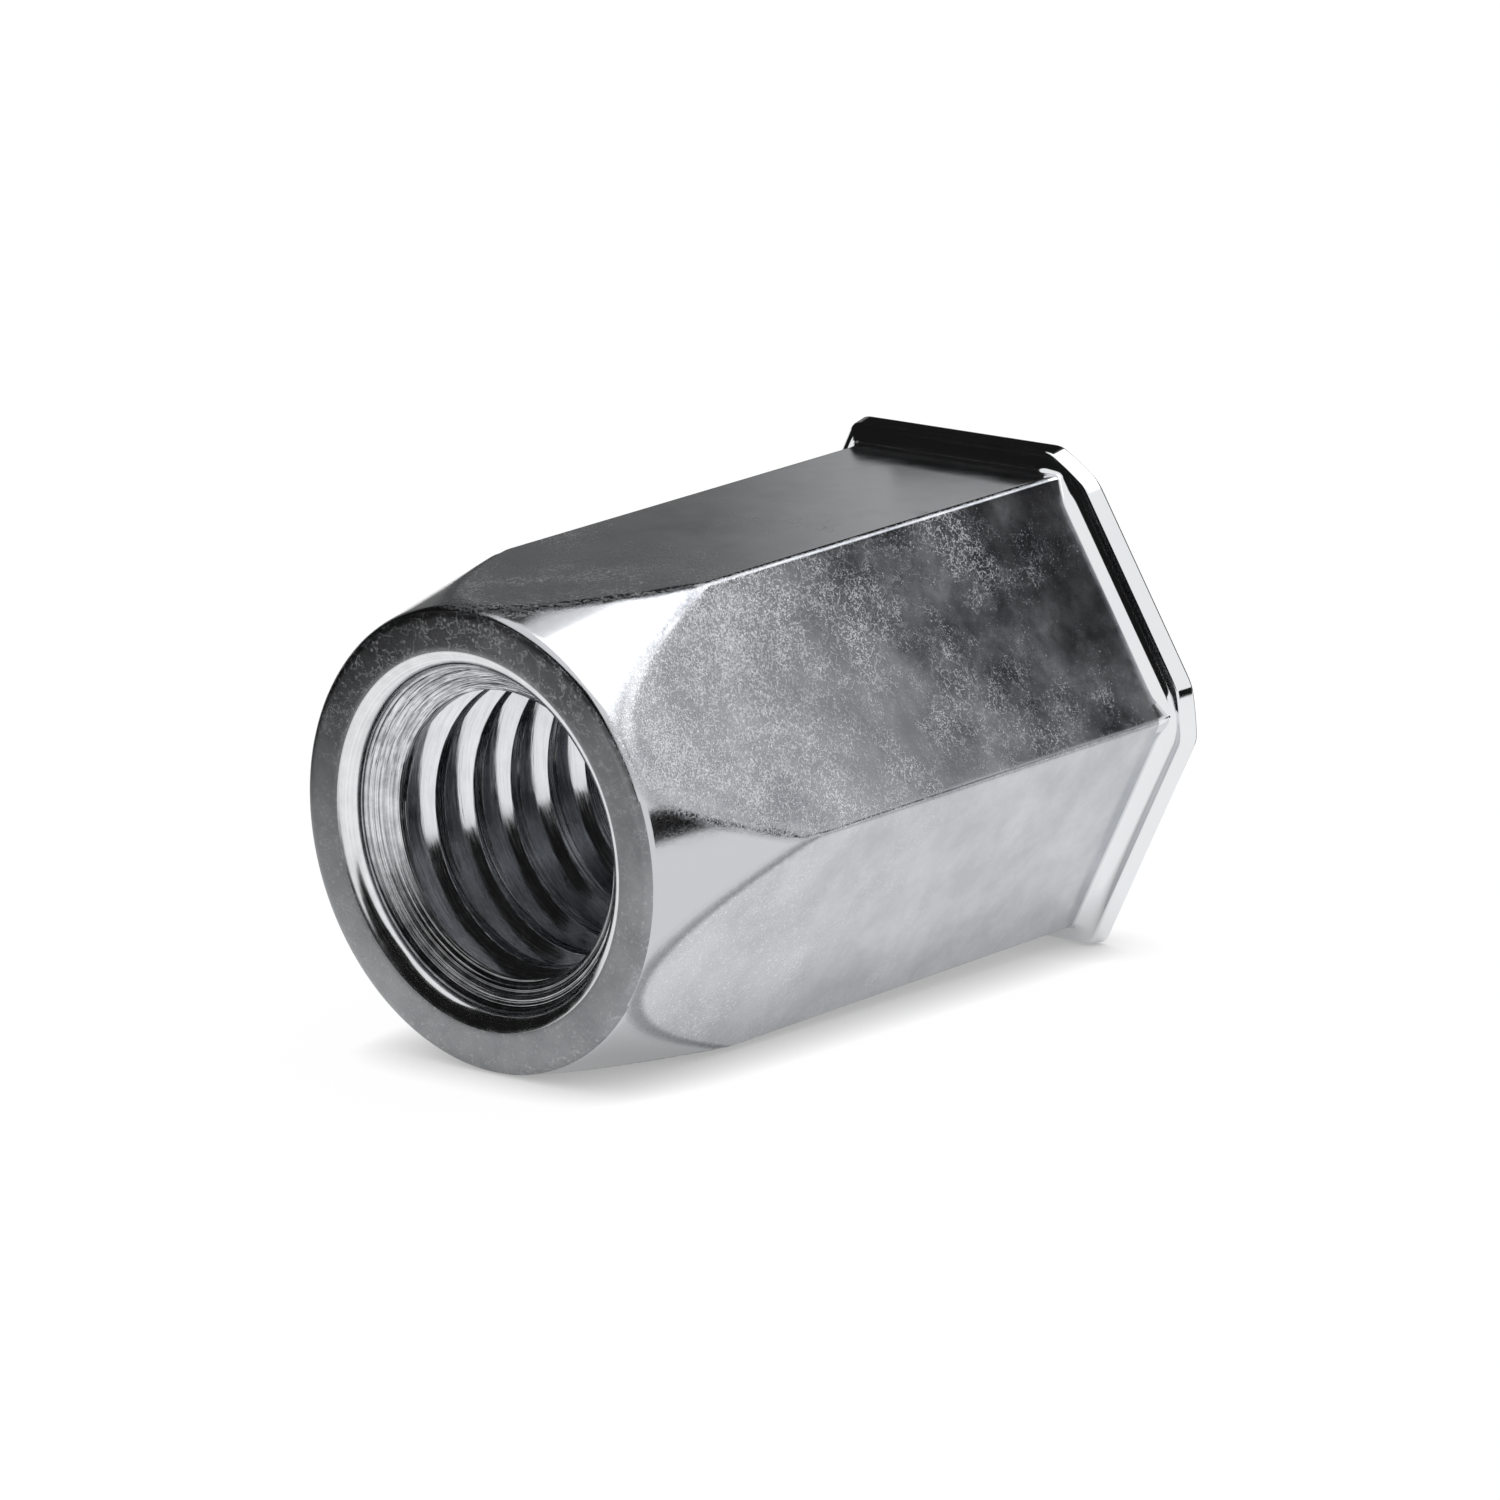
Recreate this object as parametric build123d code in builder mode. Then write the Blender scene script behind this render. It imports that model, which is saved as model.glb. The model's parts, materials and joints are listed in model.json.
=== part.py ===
from build123d import *
import math
import os

# A blind rivet nut: a full-hex shank with a round threaded nose, a thin flange and
# a thin-walled chamber between them that folds when the nut is set.
# The axis lies along Y. The flange seats on the plane Y = 0, the shank runs to -Y,
# and two of the six flats face straight up and straight down.

# Driving dimensions, in millimetres and degrees.
thread_diameter = 8.0  # nominal size of the screw
thread_pitch = 1.25
thread_length = 9.0  # from the nose face to the end of the full thread

chamber_clearance = 0.5  # between the screw and the chamber's wall, all round
chamber_wall = 1.0  # under each flat; this wall is what folds
chamber_floor_angle = 118.0  # full angle of the cone between chamber and thread
entry_chamfer = 0.2  # broken edge where the screw goes in

shank_length = 17.0  # from the flange's seat to the nose face
shank_edge_radius = 0.22  # the hexagon's long edges

mouth_edge_radius = 0.45  # the land rolls over into the throat
throat_clearance = 0.05  # between the screw and the throat's wall, all round
throat_length = 0.03  # the straight part of that wall, below the rounded edge
throat_angle = 120.0  # full angle of the cone from the throat to the thread's crests

nose_inset = 0.3  # from a flat in to the edge of the land, the flat ring on the nose
nose_edge_radius = 0.3
lead_in_angle = 11.0  # half angle of the cone that turns the hexagon round

flange_thickness = 0.5
flange_overhang = 0.55  # past the shank's flats
flange_corner_overhang = 0.33  # past the shank's edges, where the round blank ends
flange_corner_blend = 0.4  # radius where a straight side runs into the round blank
flange_rim_radius = 0.07
flange_root_radius = 0.25  # fillet between the flange and the shank

# Sizes that follow from them.
thread_radius = thread_diameter / 2
sharp_thread_height = thread_pitch * math.sqrt(3) / 2
bore_radius = thread_radius - 5 / 8 * sharp_thread_height  # minor radius of an ISO metric thread
chamber_radius = thread_radius + chamber_clearance
throat_radius = thread_radius + throat_clearance

shank_radius = chamber_radius + chamber_wall  # half of the 11 mm across flats
shank_corner_radius = shank_radius / math.cos(math.radians(30))
shank_edge_reach = shank_corner_radius - shank_edge_radius * (1 / math.cos(math.radians(30)) - 1)
land_radius = shank_radius - nose_inset

flange_radius = shank_radius + flange_overhang
flange_blank_radius = shank_edge_reach + flange_corner_overhang

nose_y = -shank_length
head_y = flange_thickness
thread_end_y = nose_y + thread_length
throat_end_y = nose_y + mouth_edge_radius + throat_length
throat_cone_depth = (throat_radius - bore_radius) / math.tan(math.radians(throat_angle / 2))
mouth_end_y = throat_end_y + throat_cone_depth
chamber_floor_depth = (chamber_radius - bore_radius) / math.tan(math.radians(chamber_floor_angle / 2))
chamber_floor_y = thread_end_y + chamber_floor_depth

# The nose's rounded edge leaves the land square to it and runs tangent into the cone.
lead_in_slope = math.radians(lead_in_angle)
cone_start_radius = land_radius + nose_edge_radius * math.cos(lead_in_slope)
cone_start_y = nose_y + nose_edge_radius * (1 - math.sin(lead_in_slope))

# The cone goes on a little way past the hexagon's edges, so that it cuts nothing there.
envelope_margin = 0.2
envelope_radius = shank_corner_radius + envelope_margin
cone_end_y = cone_start_y + (envelope_radius - cone_start_radius) / math.tan(lead_in_slope)


def nose_envelope():
    """Half section of the turned form that the nose is rounded to."""
    RadiusArc((land_radius, nose_y), (cone_start_radius, cone_start_y), -nose_edge_radius)
    Polyline(
        (cone_start_radius, cone_start_y),
        (envelope_radius, cone_end_y),
        (envelope_radius, 0),
        (0, 0),
        (0, nose_y),
        (land_radius, nose_y),
    )


def stepped_hole():
    """Half section of the hole right through: throat, thread bore, chamber and entry."""
    Polyline(
        (0, nose_y),
        (throat_radius, nose_y),
        (throat_radius, throat_end_y),
        (bore_radius, mouth_end_y),
        (bore_radius, thread_end_y),
        (chamber_radius, chamber_floor_y),
        (chamber_radius, head_y - entry_chamfer),
        (chamber_radius + entry_chamfer, head_y),
        (0, head_y),
        close=True,
    )


def faces_across_axis(part):
    """The flat faces square to the axis, from the nose to the flange's outer face."""
    return part.faces().filter_by(Axis.Y).sort_by(Axis.Y)


with BuildPart() as rivet_nut:
    # The shank is a hexagon with softly rounded long edges.
    with BuildSketch(Plane.XZ):
        shank_hexagon = RegularPolygon(shank_radius, 6, major_radius=False)
        fillet(shank_hexagon.vertices(), shank_edge_radius)
    extrude(amount=shank_length)

    # The turned envelope rounds the nose: land, rounded edge, then the long cone.
    # Where the cone runs out through the flats it leaves a scallop on each of them.
    with BuildSketch(Plane.XY):
        with BuildLine():
            nose_envelope()
        make_face()
    revolve(axis=Axis.Y, mode=Mode.INTERSECT)

    # The flange is a larger hexagon whose corners are cut short by the round blank.
    with BuildSketch(Plane.XZ) as flange_outline:
        RegularPolygon(flange_radius, 6, major_radius=False)
        Circle(flange_blank_radius, mode=Mode.INTERSECT)
        fillet(flange_outline.vertices(), flange_corner_blend)
    extrude(amount=-flange_thickness)

    nose_land, flange_seat, flange_face = faces_across_axis(rivet_nut)
    fillet(flange_seat.inner_wires().edges(), flange_root_radius)
    nose_land, flange_seat, flange_face = faces_across_axis(rivet_nut)
    rim_edges = flange_seat.outer_wire().edges() + flange_face.outer_wire().edges()
    fillet(rim_edges, flange_rim_radius)

    # One stepped hole goes right through, turned about the axis.
    with BuildSketch(Plane.XY):
        with BuildLine():
            stepped_hole()
        make_face()
    revolve(axis=Axis.Y, mode=Mode.SUBTRACT)

    # The land rolls over into the throat.
    nose_land = faces_across_axis(rivet_nut)[0]
    fillet(nose_land.inner_wires().edges(), mouth_edge_radius)

rivet_nut.part.label = "rivet_nut"

os.makedirs("parts", exist_ok=True)
export_step(rivet_nut.part, "parts/rivet_nut.step")

print("across flats", 2 * shank_radius, "flange across flats", 2 * flange_radius)
print("flange across corners", 2 * flange_blank_radius)
print("minor radius", bore_radius, "mouth ends", mouth_end_y, "chamber floor", chamber_floor_y)
print("size", rivet_nut.part.bounding_box().size, "volume", rivet_nut.part.volume)
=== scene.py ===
# %% [markdown]
# # A blind rivet nut in zinc-plated steel
#
# A rivet nut gives a thin sheet a strong thread. It is pushed into a hexagonal hole from one
# side, a tool pulls on its thread, and the thin wall behind the sheet folds and clamps it.
# This lesson dresses the plain solid of that nut: first the form, with its soft edges and a
# real thread, then the worn zinc, then the studio. We load the solid as a fixed frame and
# take every place from it, so that nothing has to be fitted by eye afterwards.

import json
import math

import bmesh
import bpy
import numpy as np
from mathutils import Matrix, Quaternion, Vector


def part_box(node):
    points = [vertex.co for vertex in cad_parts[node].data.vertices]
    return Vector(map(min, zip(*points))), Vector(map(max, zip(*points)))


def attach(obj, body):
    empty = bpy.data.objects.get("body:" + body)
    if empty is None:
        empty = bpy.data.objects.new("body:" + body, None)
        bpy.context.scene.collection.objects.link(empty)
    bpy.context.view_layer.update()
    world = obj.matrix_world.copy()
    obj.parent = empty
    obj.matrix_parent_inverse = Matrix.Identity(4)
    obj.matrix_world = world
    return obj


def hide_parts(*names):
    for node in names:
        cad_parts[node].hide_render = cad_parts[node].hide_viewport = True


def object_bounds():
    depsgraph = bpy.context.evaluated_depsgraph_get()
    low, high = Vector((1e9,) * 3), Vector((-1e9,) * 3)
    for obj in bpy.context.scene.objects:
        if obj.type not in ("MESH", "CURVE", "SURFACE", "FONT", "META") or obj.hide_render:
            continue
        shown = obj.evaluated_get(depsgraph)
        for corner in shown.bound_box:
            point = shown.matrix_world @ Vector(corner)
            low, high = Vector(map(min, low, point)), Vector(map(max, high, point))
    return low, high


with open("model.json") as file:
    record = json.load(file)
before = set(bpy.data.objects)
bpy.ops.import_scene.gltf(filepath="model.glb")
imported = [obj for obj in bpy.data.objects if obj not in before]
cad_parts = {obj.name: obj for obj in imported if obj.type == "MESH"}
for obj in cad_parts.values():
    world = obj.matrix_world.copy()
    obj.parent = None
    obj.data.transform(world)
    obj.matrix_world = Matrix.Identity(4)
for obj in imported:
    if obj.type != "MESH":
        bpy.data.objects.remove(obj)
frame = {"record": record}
cad_low, cad_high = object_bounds()
mm = 0.001  # Blender works in metres here, and the nut is drawn in millimetres
print("nut, mm:", [round(side / mm, 3) for side in cad_high - cad_low])

# %% [markdown]
# ## Sizes
#
# The frame already knows how long the nut is, how wide its flange is and how wide its two
# bores are, so those are read from it. Only what the frame can't tell us, such as the angle
# of the lead-in or the radius on an edge, is written here, once each. The axis lies along Y,
# the flange seats on the plane Y = 0, and the threaded nose points to -Y.

# %% Sizes read from the frame
low_corner, high_corner = (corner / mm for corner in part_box("rivet_nut"))
nose_y, head_y = low_corner.y, high_corner.y
flange_apothem = high_corner.z
flange_blank_radius = high_corner.x
mounts = {mount["name"]: mount["dims"] for mount in frame["record"]["mounts"]}
bore_radius = mounts["screw_thread"]["r_mm"]
chamber_radius = mounts["entry_bore"]["r_mm"]
chamber_length = mounts["entry_bore"]["length_mm"]

# %% Sizes of our own, in millimetres
shank_apothem = 5.5  # from the axis to each of the six flats
shank_edge_radius = 0.22
flange_corner_blend = 0.08  # how softly the flange's sides run into the round blank
flange_blank_oval = 0.4  # how much farther the blank reaches along its oval than across it
flange_oval_direction = math.radians(120)  # the corner that the oval points to
flange_oval_drop = 0.28  # share of the oval by which the blank falls short across it
flange_rim_radius = 0.07
flange_root_radius = 0.4  # under the flats; the long edges leave room for less
flange_rim_draft = 0.07  # how much wider the flange is at its face than at its seat
nose_land_radius = 5.2  # the land is the flat ring on the nose
nose_edge_radius = 0.3
lead_in_angle = math.radians(11)
scallop_blend = 0.064  # how softly the lead-in's cone runs out into the flats
scallop_crease = 0.02  # a shallow furrow left along that line
mouth_lip_width, mouth_lip_depth = 0.55, 0.45  # the land rolls over into the throat
throat_radius = 4.05
throat_length = 0.03
throat_dip = math.radians(30)  # the cone from the throat to the thread
chamber_floor_slope = math.tan(math.radians(118 / 2))  # the point of the drill is 118 degrees
entry_chamfer = 0.2

thread_pitch = 1.25
sharp_thread_height = thread_pitch * math.sqrt(3) / 2
thread_depth = 5 / 8 * sharp_thread_height
thread_edge_radius = 0.05
thread_start = 0.3  # share of a turn by which the thread starts late
drill_radius = bore_radius - 0.3  # narrower than the thread's crests, so that the tap cuts them
print("screw diameter, mm:", round(2 * (bore_radius + thread_depth), 2))

# %% [markdown]
# ## Angles round the axis
#
# Every ring of the nut's skin has the same angles, so that rings can be joined into a grid of
# four-sided faces. Even steps would waste faces on the flats and starve the long edges, which
# are only a fifth of a millimetre round. So the steps are spread by a density: high where a
# long edge or a trimmed flange corner turns, low on the flats between.

# %% Angles, dense where the section turns
steps_per_flat = 72
half_flat = math.radians(30)  # half of the angle that one flat takes up
flange_turn = math.degrees(math.acos(flange_apothem / flange_blank_radius))
fine = np.linspace(-30, 30, 6001)  # degrees from the middle of a flat
density = np.ones(len(fine))
for turn, extra, width in ((30, 9, 1.0), (flange_turn, 3, 0.8)):
    density += extra * np.exp(-(((np.abs(fine) - turn) / width) ** 2))
so_far = np.concatenate([[0], np.cumsum((density[1:] + density[:-1]) / 2)])
share_so_far = so_far / so_far[-1]
one_flat = np.interp(np.arange(steps_per_flat) / steps_per_flat, share_so_far, fine)
from_flat = np.radians(np.tile(one_flat, 6))  # angle from the nearest flat's middle
angles = from_flat + np.radians(np.repeat(np.arange(6) * 60 + 30, steps_per_flat))
finest = float(np.degrees(np.diff(angles)).min())
print(len(angles), "angles, finest step in degrees:", round(finest, 2))

# %% [markdown]
# ## Sections
#
# Two outlines make the outside: a hexagon with rounded edges, and circles. Where the turned
# lead-in cuts the hexagon, we take the smaller of the two at each angle. A plain minimum
# would leave a knife-sharp line. Cold forming doesn't, so a soft minimum rolls the one into
# the other. Because cone and flat meet at a shallow angle in the middle of a flat and at a
# steep one near the long edges, that single softness gives a broad scallop with crisp ends.
#
# The flange is a larger hexagon, trimmed by the round blank that it was pressed from. Such a
# blank is never quite round, so ours is a little oval: two opposite corners keep nearly their
# full length, and the other four come out shorter and rounder.


# %% Outlines
def soft_minimum(one, other, softness):
    """The smaller of two lengths, rounded off where they are nearly the same."""
    overlap = np.clip(1 - np.abs(one - other) / softness, 0, None)
    return np.minimum(one, other) - overlap**2 * softness / 4


def hexagon_reach(apothem, edge_radius):
    """How far a hexagon with rounded edges reaches from the axis, at each angle."""
    centre_reach = (apothem - edge_radius) / math.cos(half_flat)
    flat_reach = apothem / np.cos(from_flat)
    from_edge = half_flat - np.abs(from_flat)
    across = centre_reach * np.sin(from_edge)
    inside = np.clip(edge_radius**2 - across**2, 0, None)
    edge_reach = centre_reach * np.cos(from_edge) + np.sqrt(inside)
    flat_ends = np.arctan((apothem - edge_radius) * math.tan(half_flat) / apothem)
    return np.where(np.abs(from_flat) > flat_ends, edge_reach, flat_reach)


def flange_reach(inset):
    """The flange's outline, drawn in by an inset: a hexagon trimmed by its oval blank."""
    sides = (flange_apothem - inset) / np.cos(from_flat)
    along_oval = np.cos(angles - flange_oval_direction) ** 2 - flange_oval_drop
    blank = flange_blank_radius + flange_blank_oval * along_oval
    return soft_minimum(sides, blank - inset, flange_corner_blend)


def circle_reach(radius):
    return np.full(len(angles), float(radius))


def quarter(steps):
    """Sine and cosine pairs along a quarter turn, for rounding an edge."""
    return [(math.sin(t), math.cos(t)) for t in np.linspace(0, math.pi / 2, steps)]


shank_outline = hexagon_reach(shank_apothem, shank_edge_radius)
print("across edges, mm:", round(2 * float(shank_outline.max()), 3))

# %% [markdown]
# ## The blank
#
# A press forms the real nut's blank, and so every edge of it is a little round. We could bevel
# the plain solid, but its mesh is too coarse for a mirror, and a bevel keeps one width where
# the scallops need one that fades. So the blank is made anew, as one closed skin. We walk round
# its half section, from the chamber's floor out over the flange, down the shank, round the
# nose and back up the hole, and at each stop write down a ring: how far it reaches at each
# angle, and its height along the axis. Joining each ring to the next, and the last one to the
# first, gives a watertight form with no loose faces.

# %% Rings of the chamber and the entry
rings = []  # (reach at each angle, height along the axis)
entry_y = head_y - entry_chamfer
entry_radius = chamber_radius + entry_chamfer
chamber_floor_y = entry_y - chamber_length
drill_end_y = chamber_floor_y - (chamber_radius - drill_radius) / chamber_floor_slope
for height in np.linspace(chamber_floor_y, entry_y, 9):
    rings.append((circle_reach(chamber_radius), height))
rings.append((circle_reach(entry_radius), head_y))

# %% Rings of the flange
face_outline = flange_reach(flange_rim_radius)
for share_out in (1 / 3, 2 / 3):
    rings.append(((1 - share_out) * entry_radius + share_out * face_outline, head_y))
for sine, cosine in quarter(6):
    rim_inset = flange_rim_radius * (1 - sine)
    rings.append((flange_reach(rim_inset), head_y - flange_rim_radius * (1 - cosine)))
# Two rings lie close to the rim's rounded edges. Without them, smooth shading would drag the
# turn of those edges right across the flat band between them.
for share_down in (0.04, 0.5, 0.96):
    height = head_y - flange_rim_radius - share_down * (head_y - 2 * flange_rim_radius)
    rings.append((flange_reach(flange_rim_draft * share_down), height))
for sine, cosine in reversed(quarter(6)):
    rim_inset = flange_rim_draft + flange_rim_radius * (1 - sine)
    rings.append((flange_reach(rim_inset), flange_rim_radius * (1 - cosine)))

# %% Rings of the flange's root
seat_left = 0.02  # the least flat seat that is left outside the fillet
root_blend = 0.05  # how softly the fillet shrinks towards the long edges
seat_width = flange_reach(flange_rim_draft + flange_rim_radius) - shank_outline
root_radii = soft_minimum(circle_reach(flange_root_radius), seat_width - seat_left, root_blend)
for sine, cosine in quarter(9):
    spread = root_radii * (1 - sine)
    outline = hexagon_reach(shank_apothem + spread, shank_edge_radius + spread)
    rings.append((outline, -root_radii * (1 - cosine)))
print("fillet at the root, mm:", [round(float(r), 2) for r in (root_radii.min(), root_radii.max())])

# %% Rings of the shank and the lead-in
shank_start_y = -flange_root_radius - 0.1  # just past the fillet
cone_start_radius = nose_land_radius + nose_edge_radius * math.cos(lead_in_angle)
cone_start_y = nose_y + nose_edge_radius * (1 - math.sin(lead_in_angle))
lead_in_length = (shank_outline.max() + scallop_blend - cone_start_radius) / math.tan(lead_in_angle)
lead_in_end_y = cone_start_y + lead_in_length
crease_width = scallop_blend / 2
for height in np.linspace(shank_start_y, lead_in_end_y, 13):
    rings.append((shank_outline, height))
for height in np.linspace(lead_in_end_y, cone_start_y, 61)[1:]:
    cone = cone_start_radius + (height - cone_start_y) * math.tan(lead_in_angle)
    crease = scallop_crease * np.exp(-(((shank_outline - cone) / crease_width) ** 2))
    rings.append((soft_minimum(shank_outline, cone, scallop_blend) - crease, height))
for turn in np.linspace(lead_in_angle, math.pi / 2, 9)[1:]:
    turned = nose_land_radius + nose_edge_radius * math.cos(turn)
    height = nose_y + nose_edge_radius * (1 - math.sin(turn))
    rings.append((soft_minimum(shank_outline, turned, scallop_blend), height))
print("lead-in, mm:", round(lead_in_length, 2))

# %% Rings of the mouth and the drilled hole
mouth_radius = throat_radius + mouth_lip_width
rings.append((circle_reach((nose_land_radius + mouth_radius) / 2), nose_y))
for sine, cosine in quarter(13):
    radius = mouth_radius - mouth_lip_width * sine
    rings.append((circle_reach(radius), nose_y + mouth_lip_depth * (1 - cosine)))
throat_end_y = nose_y + mouth_lip_depth + throat_length
mouth_end_y = throat_end_y + (throat_radius - drill_radius) * math.tan(throat_dip)
for radius in np.linspace(throat_radius, drill_radius, 11):
    height = throat_end_y + (throat_radius - radius) * math.tan(throat_dip)
    rings.append((circle_reach(radius), height))
for height in np.linspace(mouth_end_y, drill_end_y, 9)[1:]:
    rings.append((circle_reach(drill_radius), height))
for radius in np.linspace(drill_radius, chamber_radius, 7)[1:-1]:
    height = drill_end_y + (radius - drill_radius) / chamber_floor_slope
    rings.append((circle_reach(radius), height))
print(len(rings), "rings")


# %% Join the rings
def new_object(name, vertices, faces, edges=()):
    mesh = bpy.data.meshes.new(name)
    mesh.from_pydata(vertices, edges, faces)
    mesh.update()
    obj = bpy.data.objects.new(name, mesh)
    bpy.context.scene.collection.objects.link(obj)
    return obj


def skin(name, rings):
    """A closed skin through rings, each joined to the next and the last to the first."""
    reach = np.array([ring[0] for ring in rings])
    heights = np.array([ring[1] + circle_reach(0) for ring in rings])
    points = np.stack([reach * np.cos(angles), heights, reach * np.sin(angles)], axis=-1)
    turns = len(angles)
    faces = [
        (a * turns + i, b * turns + i, b * turns + j, a * turns + j)
        for a, b in zip(range(len(rings)), [*range(1, len(rings)), 0])
        for i, j in zip(range(turns), [*range(1, turns), 0])
    ]
    return new_object(name, points.reshape(-1, 3) * mm, faces)


nut = skin("rivet_nut_body", rings)
print(len(nut.data.polygons), "faces")

# %% [markdown]
# ## The thread
#
# On the real nut a tap cuts the thread. We could wind the rings of the bore into a helix, but
# then the run-out, where the thread breaks into the mouth, would have to be worked out by hand.
# So we make a tap too. Its profile is one standing line of 60 degree vees, and the Screw
# modifier winds that line once round the axis while it climbs by one pitch. Each vee then lands
# exactly on the next one, and merging those points leaves a single tight screw. A fan closes
# each end. A Boolean takes that screw out of the drilled hole, and the run-out comes with it.


# %% The line of vees
def rounded(points, radius, steps=4):
    """A line through points, with each corner between its ends rounded."""
    line = [Vector(points[0])]
    for before, corner, after in zip(points, points[1:], points[2:]):
        before, corner, after = Vector(before), Vector(corner), Vector(after)
        arriving, leaving = (corner - before).normalized(), (after - corner).normalized()
        setback = radius * math.tan(arriving.angle(leaving) / 2)
        if setback < radius / 100:  # the line hardly turns here
            line.append(corner)
            continue
        start, end = corner - arriving * setback, corner + leaving * setback
        for share_along in np.linspace(0, 1, steps + 1):
            first, second = start.lerp(corner, share_along), corner.lerp(end, share_along)
            line.append(first.lerp(second, share_along))
    line.append(Vector(points[-1]))
    return line


thread_radius = bore_radius + thread_depth
tap_start_y = nose_y - (2 - thread_start) * thread_pitch
tap_pitches = math.ceil((chamber_floor_y - tap_start_y) / thread_pitch) + 1
half_crest, half_root = 1 / 8, 1 / 16  # shares of the pitch, as on any metric thread
one_pitch = [
    (bore_radius, 0),
    (bore_radius, half_crest),
    (thread_radius, 1 / 2 - half_root),
    (thread_radius, 1 / 2 + half_root),
    (bore_radius, 1 - half_crest),
]
corners = []
for count in range(tap_pitches):
    for radius, share_up in one_pitch:
        corners.append((radius, tap_start_y + (count + share_up) * thread_pitch))
corners.append((bore_radius, tap_start_y + tap_pitches * thread_pitch))
vees = rounded(corners, thread_edge_radius)
print(tap_pitches, "pitches,", len(vees), "points")


# %% Wind the line into a tap
def settle(obj):
    """Swaps an object's mesh for what its modifiers make of it."""
    bpy.context.view_layer.update()
    graph = bpy.context.evaluated_depsgraph_get()
    settled = bpy.data.meshes.new_from_object(obj.evaluated_get(graph))
    obj.modifiers.clear()
    obj.data = settled


steps_per_turn = 160
line_points = [(p.x * mm, p.y * mm, 0) for p in vees]
line_edges = [(i, i + 1) for i in range(len(vees) - 1)]
tap = new_object("tap", line_points, [], line_edges)
winding = tap.modifiers.new("winding", "SCREW")
winding.axis = "Y"
winding.angle = 2 * math.pi
winding.screw_offset = thread_pitch * mm
winding.steps = winding.render_steps = steps_per_turn
winding.use_merge_vertices = True
winding.merge_threshold = 0.0001 * mm
settle(tap)
print(len(tap.data.vertices), "points wound")

# %% Close the tap's ends
form = bmesh.new()
form.from_mesh(tap.data)
bmesh.ops.remove_doubles(form, verts=form.verts, dist=0.001 * mm)
open_edges = [edge for edge in form.edges if edge.is_boundary]
middle_y = sum(v.co.y for v in form.verts) / len(form.verts)
for end in (-1, 1):
    rim = [edge for edge in open_edges if (edge.verts[0].co.y - middle_y) * end > 0]
    tip = form.verts.new((0, sum(edge.verts[0].co.y for edge in rim) / len(rim), 0))
    for edge in rim:
        form.faces.new((*edge.verts, tip))
print(len(form.verts), "points after merging,", len(open_edges), "open edges closed")
bmesh.ops.recalc_face_normals(form, faces=form.faces)
form.to_mesh(tap.data)
form.free()


# %% Tap the hole
def facing_out(obj):
    """Turns every face of a closed mesh outwards, and says how much it holds."""
    form = bmesh.new()
    form.from_mesh(obj.data)
    bmesh.ops.recalc_face_normals(form, faces=form.faces)
    form.to_mesh(obj.data)
    loose = sum(not edge.is_manifold for edge in form.edges)
    volume = round(form.calc_volume() / mm**3, 1)
    print(obj.name, len(form.faces), "faces,", loose, "open edges,", volume, "mm3")
    form.free()


facing_out(nut)
facing_out(tap)
cut = nut.modifiers.new("cut", "BOOLEAN")
cut.object = tap
cut.operation = "DIFFERENCE"
cut.solver = "MANIFOLD"
settle(nut)
bpy.data.objects.remove(tap)
facing_out(nut)

# %% [markdown]
# A mirror would show every flat face of the mesh. Smooth shading bends the light as if the
# faces were curved, but it has to stop at true edges, such as the chamfer where the screw goes
# in. We could mark those by hand, but the angle between two faces already tells them apart.

# %% Shade it
sharp_angle = math.radians(35)  # steeper edges than this stay crisp
nut.data.shade_smooth()
nut.data.set_sharp_from_angle(angle=sharp_angle)
print("smooth, but for edges over", round(math.degrees(sharp_angle)), "degrees")

# %% [markdown]
# ## Zinc
#
# Bright zinc plate starts as a mirror. A barrel full of other nuts then peppers it with matt
# pinpricks and short scuffs. A matt speck gathers light from all round, so it looks pale
# where the mirror shows something dark, and dark where the mirror shows something white.
# That tells us how to make it: painted dots would be the same everywhere, so the roughness
# jumps at each speck, and a paler colour only helps it.
#
# The class below saves typing. Each of its methods adds one or two shader nodes to a metal
# material, links them, and gives back the socket that carries the result to the next one.


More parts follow.
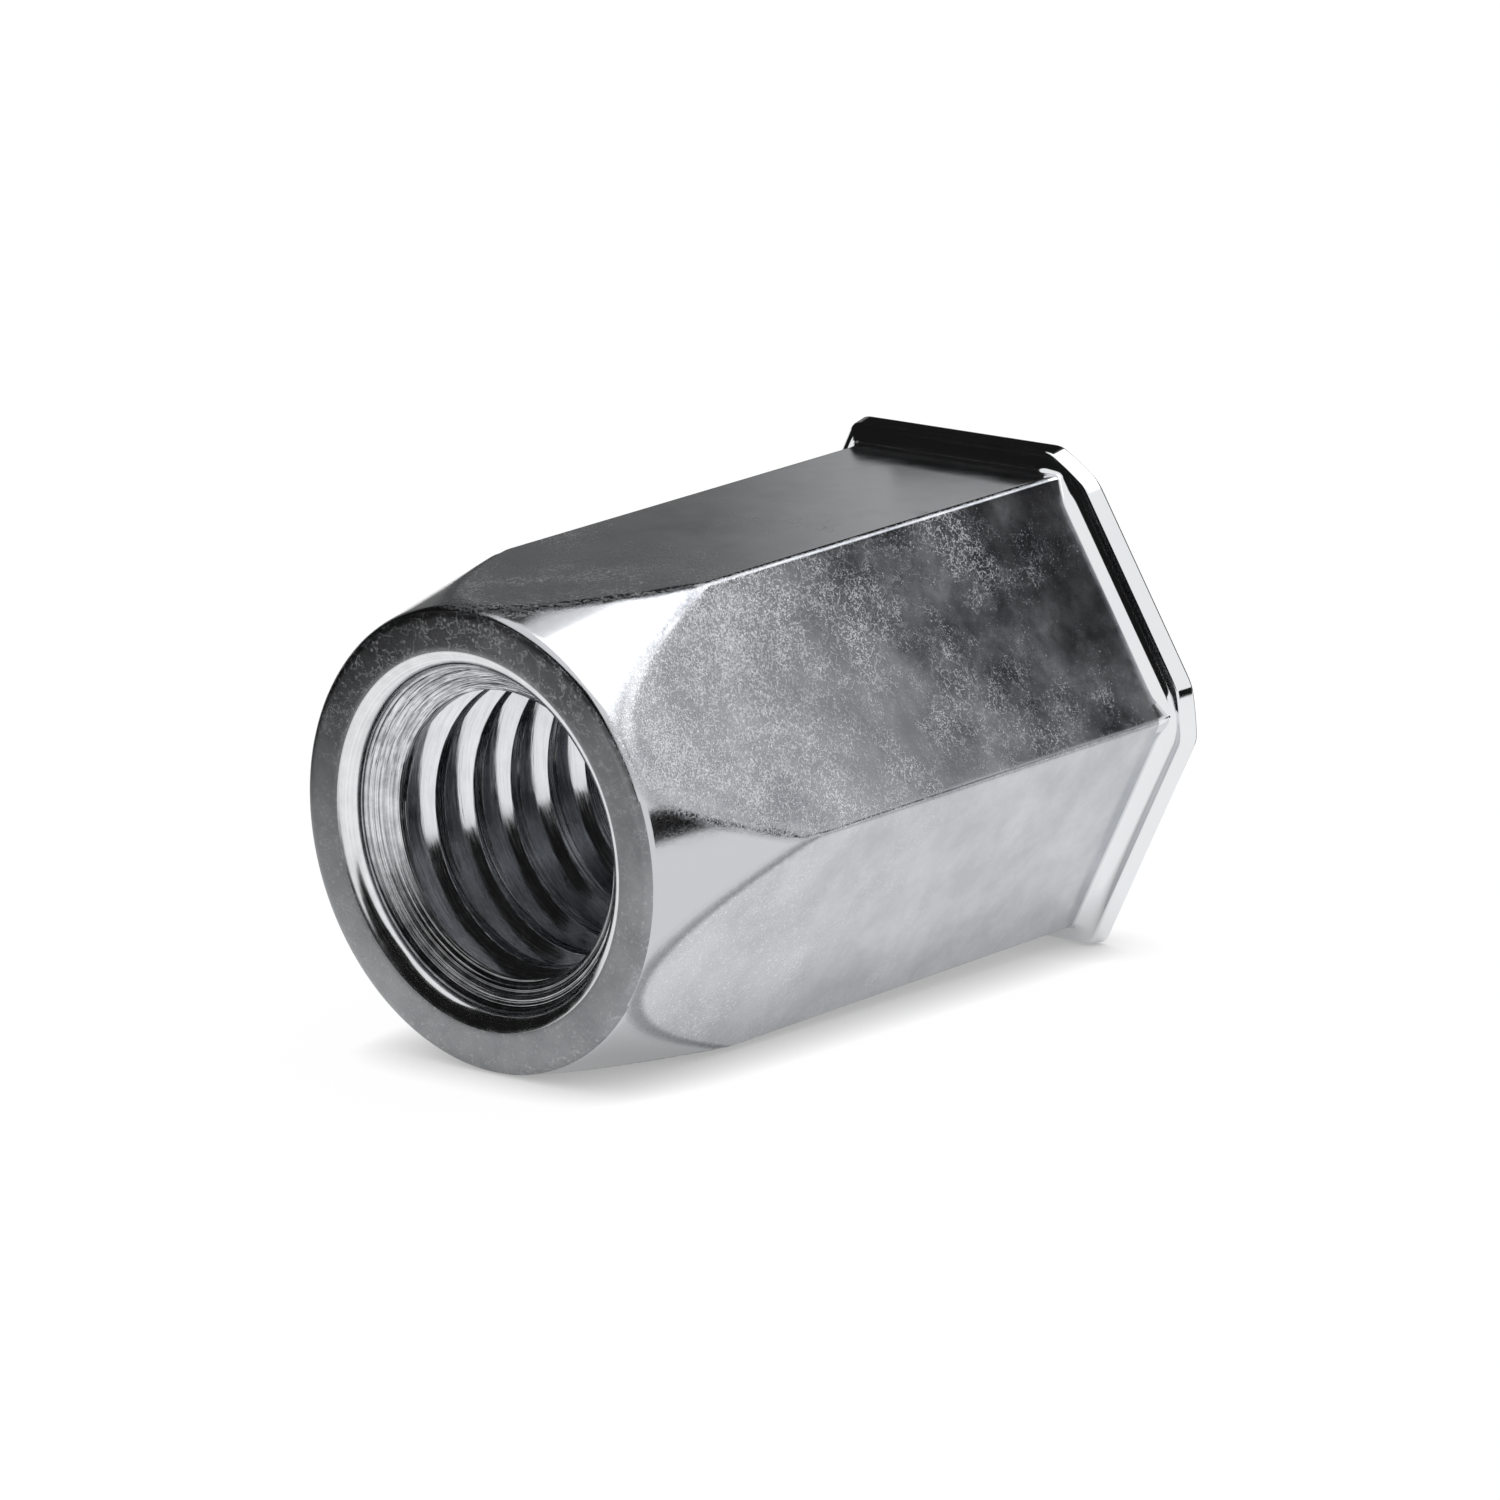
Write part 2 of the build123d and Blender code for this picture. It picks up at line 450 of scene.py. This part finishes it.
# %% A material in millimetres
class Finish:
    """A metal material whose textures are measured in millimetres."""

    def __init__(self, name):
        self.material = bpy.data.materials.new(name)
        self.material.use_nodes = True
        self.nodes = self.material.node_tree.nodes
        self.links = self.material.node_tree.links
        self.shader = self.nodes["Principled BSDF"]
        self.shader.inputs["Metallic"].default_value = 1.0
        place = self.nodes.new("ShaderNodeTexCoord")
        scaled = self.nodes.new("ShaderNodeVectorMath")
        scaled.operation = "SCALE"
        scaled.inputs["Scale"].default_value = 1 / mm
        self.links.new(place.outputs["Object"], scaled.inputs[0])
        self.place = scaled.outputs[0]
        self.normal = None

    def noise(self, size, detail=2.0, roughness=0.5, place=None):
        """Cloudy noise whose blobs are about that many millimetres wide."""
        texture = self.nodes.new("ShaderNodeTexNoise")
        texture.inputs["Scale"].default_value = 1 / size
        texture.inputs["Detail"].default_value = detail
        texture.inputs["Roughness"].default_value = roughness
        self.links.new(place or self.place, texture.inputs["Vector"])
        return texture.outputs[0]

    def dots(self, spacing, size):
        """One inside scattered round dots and nothing between them."""
        cells = self.nodes.new("ShaderNodeTexVoronoi")
        cells.inputs["Scale"].default_value = 1 / spacing
        self.links.new(self.place, cells.inputs["Vector"])
        return self.spread(cells.outputs["Distance"], size / spacing, size / spacing / 2, 0, 1)

    def math(self, operation, one, other=None):
        """One step of arithmetic, on one value or two."""
        result = self.nodes.new("ShaderNodeMath")
        result.operation = operation
        self.links.new(one, result.inputs[0])
        if other:
            self.links.new(other, result.inputs[1])
        return result.outputs[0]

    def along_axis(self):
        """How far along the axis a place is: 0 at the flange's seat, less towards the nose."""
        split = self.nodes.new("ShaderNodeSeparateXYZ")
        self.links.new(self.place, split.inputs[0])
        return split.outputs["Y"]

    def square_to_flats(self):
        """How far a place is from the axis, measured square to the nearest flat."""
        farthest = None
        for turn in (90, 30, -30):
            across = self.nodes.new("ShaderNodeVectorMath")
            across.operation = "DOT_PRODUCT"
            angle = math.radians(turn)
            across.inputs[1].default_value = (math.cos(angle), 0, math.sin(angle))
            self.links.new(self.place, across.inputs[0])
            distance = self.math("ABSOLUTE", across.outputs["Value"])
            farthest = self.math("MAXIMUM", farthest, distance) if farthest else distance
        return farthest

    def turned(self):
        """Places told only by distance from the axis and along it, for marks of turning."""
        apart = self.nodes.new("ShaderNodeVectorMath")
        apart.operation = "MULTIPLY"
        apart.inputs[1].default_value = (1, 0, 1)
        self.links.new(self.place, apart.inputs[0])
        from_axis = self.nodes.new("ShaderNodeVectorMath")
        from_axis.operation = "LENGTH"
        self.links.new(apart.outputs[0], from_axis.inputs[0])
        joined = self.nodes.new("ShaderNodeCombineXYZ")
        self.links.new(from_axis.outputs["Value"], joined.inputs["X"])
        self.links.new(self.along_axis(), joined.inputs["Y"])
        return joined.outputs[0]

    def crowd(self, value, extra, share):
        """A value raised where another is high, so that its peaks crowd together there."""
        raised = self.nodes.new("ShaderNodeMath")
        raised.operation = "MULTIPLY_ADD"
        raised.inputs[1].default_value = share
        self.links.new(extra, raised.inputs[0])
        self.links.new(value, raised.inputs[2])
        return raised.outputs[0]

    def spread(self, value, low, high, to_low, to_high):
        """Stretches a value from one range to another and stops at its ends."""
        stretch = self.nodes.new("ShaderNodeMapRange")
        names = ("From Min", "From Max", "To Min", "To Max")
        for name, number in zip(names, (low, high, to_low, to_high)):
            stretch.inputs[name].default_value = number
        self.links.new(value, stretch.inputs["Value"])
        return stretch.outputs["Result"]

    def colour(self, value, first, second):
        """Mixes two colours, either of which may be a mixture itself, and paints with them."""
        mix = self.nodes.new("ShaderNodeMix")
        mix.data_type = "RGBA"
        for socket, colour in ((mix.inputs["A"], first), (mix.inputs["B"], second)):
            if isinstance(colour, tuple):
                socket.default_value = (*colour, 1)
            else:
                self.links.new(colour, socket)
        self.links.new(value, mix.inputs["Factor"])
        self.links.new(mix.outputs["Result"], self.shader.inputs["Base Color"])
        return mix.outputs["Result"]

    def roughness(self, value, smooth, matt):
        """Makes the surface smooth where a value is 0 and matt where it is 1."""
        self.links.new(self.spread(value, 0, 1, smooth, matt), self.shader.inputs["Roughness"])

    def bump(self, height, depth):
        """Adds relief that many millimetres deep."""
        relief = self.nodes.new("ShaderNodeBump")
        relief.inputs["Distance"].default_value = depth * mm
        self.links.new(height, relief.inputs["Height"])
        if self.normal:
            self.links.new(self.normal, relief.inputs["Normal"])
        self.normal = relief.outputs["Normal"]
        self.links.new(self.normal, self.shader.inputs["Normal"])

    def done(self):
        """The material, once all its nodes are linked."""
        print(self.material.name, "made of", len(self.nodes), "nodes")
        return self.material


# %% [markdown]
# The frost has three kinds of mark: soft scuffs, round pinpricks and thin winding lines. We
# could paint them as an image, but an image has to be unwrapped onto the nut, and it blurs
# close up. Textures measured in millimetres do neither. Each kind of mark is such a texture
# cut off at a level. A larger noise makes the marks crowd together in patches, and they grow
# thicker towards the nose, which the tool rubs.

# %% Frost on the plate
cloud_size = 1.8  # how wide the clouds in the plate are, in millimetres
crowd_size = 2.2  # how wide the crowds of specks are
nose_crowding = 0.5  # how much more crowded the specks are at the nose than at the seat
scuff_crowding = 0.45  # how closely the scuffs keep to those crowds
scuff_levels = (1.24, 1.41)  # where scuffs start and where they are full
mark_levels = (0.94, 1.2)  # the same for pinpricks and winding lines
line_edge, line_core = 0.018, 0.004  # how far off the noise's middle value a line reaches


def worn_past(finish, value, levels, wear):
    """Goes from 0 to 1 as a value passes two levels, which wear lowers."""
    start, full = levels
    return finish.spread(value, start - wear, full - wear, 0, 1)


def winding_lines(finish, size):
    """Thin lines where a noise crosses its middle value, like the contours on a map."""
    off_middle = finish.spread(finish.noise(size, detail=4, roughness=0.6), 0, 1, -0.5, 0.5)
    return finish.spread(finish.math("ABSOLUTE", off_middle), line_edge, line_core, 0, 1)


def frosted(finish, speck, wear):
    """Where the plate is matt, and the faint clouds in it, for specks so many millimetres wide."""
    clouds = finish.spread(finish.noise(cloud_size, detail=5, roughness=0.65), 0.35, 0.65, 0, 1)
    towards_nose = finish.spread(finish.along_axis(), 0, nose_y, 0, 1)
    crowds = finish.crowd(finish.noise(crowd_size, detail=5, roughness=0.65), towards_nose, nose_crowding)
    scuffs = finish.crowd(finish.noise(speck, detail=3, roughness=0.7), crowds, scuff_crowding)
    scuffs = worn_past(finish, scuffs, scuff_levels, wear)
    pinpricks = finish.dots(spacing=speck * 3.5, size=speck * 0.8)
    marks = finish.math("MAXIMUM", pinpricks, winding_lines(finish, speck * 5))
    marks = finish.math("MULTIPLY", marks, worn_past(finish, crowds, mark_levels, wear))
    return finish.math("MAXIMUM", scuffs, marks), clouds


# %% Colour and relief of the plate
cloud_share = 0.5  # how much a cloud counts for in the colour, next to a speck
wave_size, wave_depth = 1.6, 0.006  # the metal under the plate is never quite flat
frost_depth = 0.002


def zinc_colour(finish, frost, clouds, dark, light):
    """Dark where the plate is bare and light where frost and clouds cover it."""
    pale = finish.spread(finish.crowd(frost, clouds, cloud_share), 0, 1 + cloud_share, 0, 1)
    return finish.colour(pale, dark, light)


def uneven(finish, frost):
    """Gives the plate a slow waviness, and sinks its frost a little."""
    finish.bump(finish.noise(wave_size, detail=1), wave_depth)
    finish.bump(frost, -frost_depth)


# %% Zinc on the flange and the land
def speckled_zinc(name, dark, light, smooth, matt, speck, wear):
    """Plate peppered with matt specks."""
    finish = Finish(name)
    frost, clouds = frosted(finish, speck, wear)
    zinc_colour(finish, frost, clouds, dark, light)
    finish.roughness(finish.crowd(frost, clouds, wear), smooth, matt)
    uneven(finish, frost)
    return finish.done()


bright_zinc = speckled_zinc(
    "bright_zinc_on_the_flange", dark=(0.78, 0.79, 0.81), light=(0.84, 0.845, 0.85),
    smooth=0.06, matt=0.4, speck=0.05, wear=0.1,
)
land_zinc = speckled_zinc(
    "matt_zinc_on_the_land", dark=(0.24, 0.245, 0.255), light=(0.56, 0.565, 0.58),
    smooth=0.38, matt=0.65, speck=0.07, wear=0.17,
)

# %% [markdown]
# The shank needs more than specks. Its lead-in has slid through a die and is polished, its
# long edges are rubbed dull, and a grey line of painted shade marks where a flat ends in its
# scallop, for the dark that its shallow furrow would show.
# We could paint a mask for each, but one measure finds all three: how far a place is from the
# axis, square to the nearest flat. On a flat it is the same everywhere, and it falls off a
# little at the long edges and much more on the lead-in.

# %% Masks under the flats
polished_colour = (0.57, 0.58, 0.60)
# the colour of the painted shade in the furrow along each scallop
painted_crease_shade_colour = (0.12, 0.125, 0.135)
frost_left = 0.1  # share of the frost that the polish leaves


def below_flats(finish, from_axis, depths, values):
    """Goes from one value to another between two depths under the flats, in millimetres."""
    start, end = depths
    return finish.spread(from_axis, shank_apothem - start, shank_apothem - end, *values)


def painted_crease_shade_line(finish, from_axis, painted_crease_shade):
    """A narrow line of painted shade round each scallop, of that strength."""
    near_side = below_flats(finish, from_axis, depths=(0.005, 0.035), values=(0, painted_crease_shade))
    far_side = below_flats(finish, from_axis, depths=(0.04, 0.1), values=(1, 0))
    return finish.math("MULTIPLY", near_side, far_side)


def rubbed_edges(finish, from_axis, speck):
    """Where the long edges have been rubbed dull, in small patches."""
    patches = finish.spread(finish.noise(speck * 2, detail=3), 0.4, 0.6, 0.2, 1)
    edges = below_flats(finish, from_axis, depths=(0.002, 0.02), values=(0, 1))
    return finish.math("MULTIPLY", edges, patches)


# %% Zinc on the shank
def shank_zinc(name, dark, light, smooth, matt, speck, wear, painted_crease_shade):
    """Speckled plate, polished on the lead-in, rubbed at the edges, with painted shade at the scallops.
    """
    finish = Finish(name)
    from_axis = finish.square_to_flats()
    polished = below_flats(finish, from_axis, depths=(0.03, 0.15), values=(0, 1))
    unpolished = finish.spread(polished, 0, 1, 1, frost_left)
    frost, clouds = frosted(finish, speck, wear)
    frost = finish.math("MULTIPLY", frost, unpolished)
    clouds = finish.math("MULTIPLY", clouds, unpolished)

    zinc = zinc_colour(finish, frost, clouds, dark, light)
    zinc = finish.colour(polished, zinc, polished_colour)
    # painted shade: a dark line along each scallop, standing in for its furrow's shade
    finish.colour(painted_crease_shade_line(finish, from_axis, painted_crease_shade), zinc, painted_crease_shade_colour)

    rubbed = finish.math("MULTIPLY", rubbed_edges(finish, from_axis, speck), unpolished)
    dull = finish.math("MAXIMUM", finish.crowd(frost, clouds, wear), rubbed)
    finish.roughness(dull, smooth, matt)
    uneven(finish, frost)
    return finish.done()


worn_zinc = shank_zinc(
    "worn_zinc_on_two_flats", dark=(0.32, 0.335, 0.365), light=(0.88, 0.89, 0.91),
    smooth=0.1, matt=0.42, speck=0.05, wear=0.32, painted_crease_shade=0.0,
)
# Only the four calm flats carry the painted shade along their scallops.
calm_zinc = shank_zinc(
    "calm_zinc_on_four_flats", dark=(0.44, 0.455, 0.48), light=(0.80, 0.81, 0.83),
    smooth=0.12, matt=0.45, speck=0.05, wear=0.24, painted_crease_shade=0.6,
)

# %% [markdown]
# Inside the mouth a tool has turned the metal under the plate, so its marks are fine rings
# round the axis. We could cut real grooves, but they are finer than any sensible mesh. A noise
# that is told only the distance from the axis and the height along it draws them instead,
# because such a noise can't change on the way round.

# %% Zinc in the mouth and the thread
patch_size, patch_share = 0.5, 0.5  # patches break the rings up, at half their strength


def turned_zinc(name, dark, light, smooth, matt, line, depth):
    """Plate over a turned face, with rings so many millimetres wide and deep."""
    finish = Finish(name)
    turned = finish.turned()
    lines = finish.noise(line, detail=2, roughness=0.6, place=turned)
    patches = finish.noise(patch_size, detail=3, roughness=0.6)
    mixed = finish.spread(finish.crowd(lines, patches, patch_share), 0.6, 0.9, 0, 1)
    finish.colour(mixed, dark, light)
    finish.roughness(mixed, smooth, matt)
    finish.bump(lines, depth)
    finish.bump(finish.noise(line * 3, detail=0, place=turned), depth * 2)
    return finish.done()


lip_zinc = turned_zinc(
    "zinc_on_the_lip", dark=(0.58, 0.595, 0.61), light=(0.80, 0.81, 0.82),
    smooth=0.09, matt=0.2, line=0.12, depth=0.0012,
)
lead_zinc = turned_zinc(
    "zinc_on_the_lead", dark=(0.28, 0.29, 0.30), light=(0.78, 0.79, 0.81),
    smooth=0.06, matt=0.25, line=0.05, depth=0.03,
)
flank_zinc = turned_zinc(
    "zinc_on_the_flanks", dark=(0.66, 0.675, 0.70), light=(0.80, 0.81, 0.83),
    smooth=0.08, matt=0.2, line=0.06, depth=0.002,
)
crest_zinc = turned_zinc(
    "zinc_on_the_drilled_bore", dark=(0.20, 0.205, 0.215), light=(0.45, 0.46, 0.48),
    smooth=0.1, matt=0.3, line=0.045, depth=0.02,
)

# %% [markdown]
# A mesh can carry several finishes, and each face says which one it wears. We could pick the
# faces by hand in Edit Mode, but the nut's sizes already say where each zone ends, so a
# function of a face's place does it and still holds when a size changes.

# %% Zones of the finishes
finishes = [worn_zinc, calm_zinc, bright_zinc, land_zinc, lip_zinc, lead_zinc, crest_zinc, flank_zinc]
nut.data.materials.clear()
for material in finishes:
    nut.data.materials.append(material)

hair = 0.01  # a face this far past a size is past it
land_skirt = 0.1  # how far the land's finish runs on round the nose's edge
skirt_slope = 0.008  # it runs on a little farther at the bottom than at the top
lead_length = 0.6  # how far past the throat the rough lead of the thread goes
crest_band = 0.012  # a face this near to the thread's minor radius is on a crest
inside_radius = bore_radius + 1  # the thread lies inside it, the chamber's wall outside


def on_worn_flats(x, z):
    """Whether a place is on the flat at upper right or on the one opposite, at lower left."""
    return x * z > 0 and abs(z) < abs(x) * math.tan(2 * half_flat)


def finish_at(x, y, z, facing_nose):
    """Which finish a face wears, from where it lies."""
    from_axis = math.hypot(x, z)
    if y > entry_y:
        return bright_zinc
    if y < nose_y + land_skirt - skirt_slope * z and from_axis > nose_land_radius:
        return land_zinc
    if from_axis > inside_radius and y > throat_end_y or from_axis > nose_land_radius + hair:
        if y > -flange_root_radius:
            return bright_zinc
        return worn_zinc if on_worn_flats(x, z) else calm_zinc
    if y < nose_y + 2 * hair and facing_nose:
        return land_zinc
    if from_axis > throat_radius + hair:
        return lip_zinc
    if y < throat_end_y + lead_length:
        return lead_zinc
    return crest_zinc if from_axis < bore_radius + crest_band else flank_zinc


# %% Give each face its finish
square_to_axis = 0.9  # the share of its normal along the axis, for a face that looks along it
painted = dict.fromkeys((material.name for material in finishes), 0)
for face in nut.data.polygons:
    material = finish_at(*(face.center / mm), face.normal.y < -square_to_axis)
    face.material_index = finishes.index(material)
    painted[material.name] += 1
print("faces of each finish:", painted)

# %% [markdown]
# ## Camera
#
# Small parts are shown from far away through a long lens, which keeps parallel edges
# nearly parallel. We could drag the camera about in the viewport, but numbers can be repeated.
# So we place it by a compass direction and a height above the horizon, aim it near the nut's
# middle and roll it a little, so that the nut climbs to the right.

# %% Directions round the nut
scene = bpy.context.scene
scene.view_settings.view_transform = "Standard"
middle = (cad_low + cad_high) / 2


def towards(azimuth, elevation):
    """Unit vector for a compass direction: 0 is behind the flange (+Y), 90 is right (+X)."""
    a, e = math.radians(azimuth), math.radians(elevation)
    return Vector((math.sin(a) * math.cos(e), math.cos(a) * math.cos(e), math.sin(e)))


print("middle of the nut, mm:", [round(side / mm, 2) for side in middle])

# %% The camera
camera_azimuth = 180 - 43.47  # degrees; 180 would look straight into the nose
camera_elevation = 14.65  # degrees
camera_roll = -3.0  # degrees
camera_distance = 244.05  # millimetres from the aim
lens_length = 251.3  # millimetres
aim_offset = Vector((0.195, 0.249, 0.178))  # from the nut's middle, in millimetres

aim = middle + aim_offset * mm
back = towards(camera_azimuth, camera_elevation)
upright = (-back).to_track_quat("-Z", "Y")
camera = bpy.data.objects.new("camera", bpy.data.cameras.new("camera"))
scene.collection.objects.link(camera)
camera.location = aim + back * camera_distance * mm
camera.rotation_mode = "QUATERNION"
camera.rotation_quaternion = Quaternion(back, math.radians(camera_roll)) @ upright
camera.data.lens = lens_length
camera.data.clip_start, camera.data.clip_end = 0.01, 10
scene.camera = camera
print("angle of view, degrees:", round(math.degrees(camera.data.angle), 1))

# %% [markdown]
# ## A studio of reflections
#
# A mirror has no look of its own: bright metal is drawn by what stands round it. Catalogue
# light for plated parts is a white room with black flags. The room gives clean pale faces,
# and each flag draws one dark face or one dark line along an edge. The floor and the room
# are simply white where the camera or a mirror sees them, so that the nut needs no fierce
# lamp, and the floor still darkens where the nut keeps the light away from it.


# %% The white room
def seen_directly(tree):
    """One for rays of the camera and of mirrors, and nothing for the soft light between."""
    path = tree.nodes.new("ShaderNodeLightPath")
    seen = path.outputs["Is Camera Ray"]
    for kind in ("Is Glossy Ray", "Is Transmission Ray"):
        either = tree.nodes.new("ShaderNodeMath")
        either.operation = "MAXIMUM"
        tree.links.new(seen, either.inputs[0])
        tree.links.new(path.outputs[kind], either.inputs[1])
        seen = either.outputs[0]
    return seen


def between(tree, value, low, high):
    """Turns a value that runs from 0 to 1 into one that runs from low to high."""
    stretch = tree.nodes.new("ShaderNodeMapRange")
    stretch.inputs["To Min"].default_value = low
    stretch.inputs["To Max"].default_value = high
    tree.links.new(value, stretch.inputs["Value"])
    return stretch.outputs["Result"]


soft_strength, seen_strength = 0.6, 1.0  # of the light that the room gives, and of its look
room = bpy.data.worlds.new("white_room")
scene.world = room
room.use_nodes = True
tree = room.node_tree
background = tree.nodes["Background"]
background.inputs["Color"].default_value = (1, 1, 1, 1)
strength = between(tree, seen_directly(tree), soft_strength, seen_strength)
tree.links.new(strength, background.inputs["Strength"])
print("the room lights with", soft_strength, "and looks", seen_strength)

# %% [markdown]
# The flange is wider than the nose, so a real nut lies a little tilted on white paper. We
# could tilt the nut, but it has to stay where its frame is, so the floor tilts instead. The
# paper's shadow comes from Ambient Occlusion, which finds the places that the nut closes in:
# there the glow of the paper sinks. That keeps the rest of it pure white without more light.

# %% The tilted floor
half_floor = 1.5  # metres
floor_tilt = math.atan2(flange_apothem - shank_apothem, abs(nose_y) - nose_edge_radius)
corners = [(-1, -1, 0), (1, -1, 0), (1, 1, 0), (-1, 1, 0)]
floor = new_object("floor", [Vector(corner) * half_floor for corner in corners], [(0, 1, 2, 3)])
floor.rotation_euler = (-floor_tilt, 0, 0)
floor.location = (0, 0, -flange_apothem * mm)
print("floor tilted by, degrees:", round(math.degrees(floor_tilt), 2))

# %% White paper
shadow_width = 1.5  # how far from the nut its shadow reaches, in millimetres
darkest, brightest = 0.4, 1.06  # how strongly the paper glows, under the nut and in the open
glow_share = 0.9  # the rest of the paper's look is lit paper
paper = bpy.data.materials.new("white_paper")
paper.use_nodes = True
tree = paper.node_tree
matt_white = tree.nodes["Principled BSDF"]
matt_white.inputs["Base Color"].default_value = (0.8, 0.8, 0.8, 1)
matt_white.inputs["Roughness"].default_value = 0.9
openness = tree.nodes.new("ShaderNodeAmbientOcclusion")
openness.inputs["Distance"].default_value = shadow_width * mm
openness.samples = 4
glow = tree.nodes.new("ShaderNodeEmission")
glow.inputs["Color"].default_value = (1, 1, 1, 1)
tree.links.new(between(tree, openness.outputs["AO"], darkest, brightest), glow.inputs["Strength"])
mix = tree.nodes.new("ShaderNodeMixShader")
tree.links.new(between(tree, seen_directly(tree), 0, glow_share), mix.inputs["Fac"])
tree.links.new(matt_white.outputs[0], mix.inputs[1])
tree.links.new(glow.outputs[0], mix.inputs[2])
tree.links.new(mix.outputs[0], tree.nodes["Material Output"].inputs["Surface"])
floor.data.materials.append(paper)
print(paper.name, "made of", len(tree.nodes), "nodes")

# %% [markdown]
# A flag is a cloth on a stand that puts something dark in a mirror. We could use flat cards,
# but a strip that bends round the nut is easier to place: two compass directions, two heights
# and a distance. It may be graded from one shade to another, and it is hidden from the camera
# and from soft light, so that only the mirrors of the nut know that it is there.

# %% A flag
black = 0.01
flag_steps = 24
flags = []


def graded(ends, share_along):
    """A value on the way between two ends, or the same all along where only one is given."""
    if not isinstance(ends, tuple):
        return ends
    return ends[0] + (ends[1] - ends[0]) * share_along


def glowing_shade(name):
    """A material that glows in the shades that its mesh carries."""
    paint = bpy.data.materials.new(name)
    paint.use_nodes = True
    nodes, links = paint.node_tree.nodes, paint.node_tree.links
    nodes.remove(nodes["Principled BSDF"])
    shade = nodes.new("ShaderNodeAttribute")
    shade.attribute_name = "shade"
    glow = nodes.new("ShaderNodeEmission")
    links.new(shade.outputs["Color"], glow.inputs["Color"])
    links.new(glow.outputs[0], nodes["Material Output"].inputs["Surface"])
    return paint


def flag(name, azimuths, bottom, top, shades=black, distance=130):
    """A strip of cloth round the nut, placed in degrees and millimetres, seen in mirrors only."""
    points, faces, tones = [], [], []
    for i in range(flag_steps + 1):
        ends = (azimuths, bottom, top, shades)
        azimuth, low, high, shade = (graded(values, i / flag_steps) for values in ends)
        points += [middle + towards(azimuth, height) * distance * mm for height in (low, high)]
        tones += [shade, shade, shade, 1] * 2
    for i in range(flag_steps):
        faces.append((2 * i, 2 * i + 1, 2 * i + 3, 2 * i + 2))
    cloth = new_object(name, points, faces)
    shade_layer = cloth.data.color_attributes.new("shade", "FLOAT_COLOR", "POINT")
    shade_layer.data.foreach_set("color", tones)
    cloth.data.materials.append(glowing_shade(name))
    cloth.visible_camera = cloth.visible_diffuse = cloth.visible_shadow = False
    flags.append(cloth)


# %% The flags round the nut
# The flat on top mirrors what stands behind on the left: grey for its nose, pale for its head.
flag("grey_behind_left", (-75, -44), -2, 24, (0.15, 0.17))
flag("paler_behind_left", (-44, -41), -2, 24, (0.17, 0.5))
flag("pale_behind_left", (-41, -5), -2, 24, (0.5, 0.7))
# Black flags draw the dark side of each rounded edge, and darken the mouth and the thread.
flag("black_above_left", (-75, -10), 24, 57)
flag("black_left", (-165, -75), (-6, 5), 58)
flag("black_low_left", (-165, -95), -9, 12, distance=26)
# This one stands close behind the flange, or the white room would shine in through the bore.
flag("black_beyond", (-30, 30), -25, 25, distance=20)
flag("black_in_front", (140, 195), 5, 58)
flag("black_behind", (-5, 25), -2, (30, 38), distance=100)
# The flat at upper right mirrors what stands behind on the right, dark for its head.
flag("dark_behind_right", (25, 38.8), -2, 38, (0.02, 0.05), distance=90)
flag("paler_behind_right", (38.8, 41.8), -2, (38, 36), (0.05, 0.75), distance=90)
flag("pale_behind_right", (41.8, 46), -2, (36, 34), (0.75, 0.95), distance=90)
flag("black_low_right", (46, 85), -2, 11, distance=90)
print(len(flags), "flags")

# %% [markdown]
# One large soft lamp overhead is enough. It draws the bright gleam on the lead-in and gives
# the matt specks some light to gather. Its energy is worked out from how bright it should
# look, so that its size can be changed without making that gleam brighter or duller.


# %% One soft lamp overhead
def softbox(name, azimuth, elevation, distance, width, height, radiance):
    """A flat lamp that faces the nut. Its distance, width and height are in millimetres."""
    lamp = bpy.data.lights.new(name, "AREA")
    lamp.shape = "RECTANGLE"
    lamp.size, lamp.size_y = width * mm, height * mm
    lamp.energy = radiance * math.pi * lamp.size * lamp.size_y
    holder = bpy.data.objects.new(name, lamp)
    scene.collection.objects.link(holder)
    direction = towards(azimuth, elevation)
    holder.location = middle + direction * distance * mm
    holder.rotation_euler = direction.to_track_quat("Z", "Y").to_euler()
    print(name, "lamp, watts:", round(lamp.energy, 3))


softbox("overhead", azimuth=30, elevation=62, distance=160, width=120, height=120, radiance=1.5)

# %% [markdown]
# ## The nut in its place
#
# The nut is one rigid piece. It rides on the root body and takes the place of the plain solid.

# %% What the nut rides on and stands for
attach(nut, "root")
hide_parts("rivet_nut")
